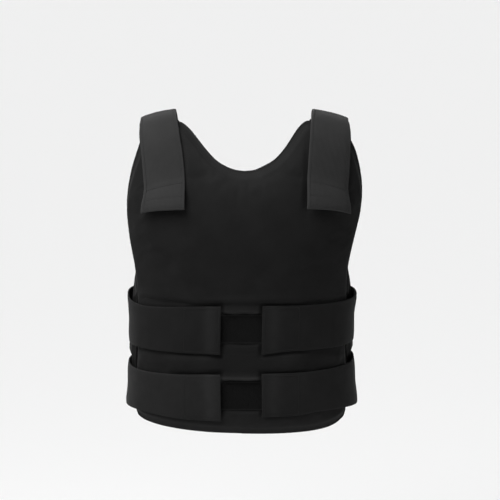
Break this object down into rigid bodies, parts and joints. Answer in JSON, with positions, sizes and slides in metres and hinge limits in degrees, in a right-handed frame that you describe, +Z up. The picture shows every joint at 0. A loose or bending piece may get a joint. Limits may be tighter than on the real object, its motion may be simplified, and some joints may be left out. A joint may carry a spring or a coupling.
{
  "type": "bulletproof vest",
  "caption": "Soft body-armour vest in its worn form: padded front and back panels, wide shoulder straps, and elastic waist straps closed over loop pile on the front.",
  "frame": {"origin": "midway between the shoulders, at shoulder height, where the shoulder straps' undersides rest", "axes": "+Z up along the body, -Y towards the wearer's front, +X towards the wearer's left"},
  "size_m": [0.3937, 0.2391, 0.5234],
  "materials": {
    "carrier_cloth": "black woven nylon carrier, matte, topstitched",
    "strap_elastic": "black ribbed elastic, matte with a faint sheen",
    "loop_pile": "black brushed loop pile, very matte"
  },
  "bodies": {
    "root": {"front_panel": "carrier_cloth", "back_panel": "carrier_cloth", "shoulder_strap_left": "strap_elastic", "shoulder_strap_right": "strap_elastic", "waist_strap_upper_left": "strap_elastic", "waist_strap_upper_right": "strap_elastic", "waist_strap_lower_left": "strap_elastic", "waist_strap_lower_right": "strap_elastic", "loop_field_upper": "loop_pile", "loop_field_lower": "loop_pile"}
  },
  "joints": []
}
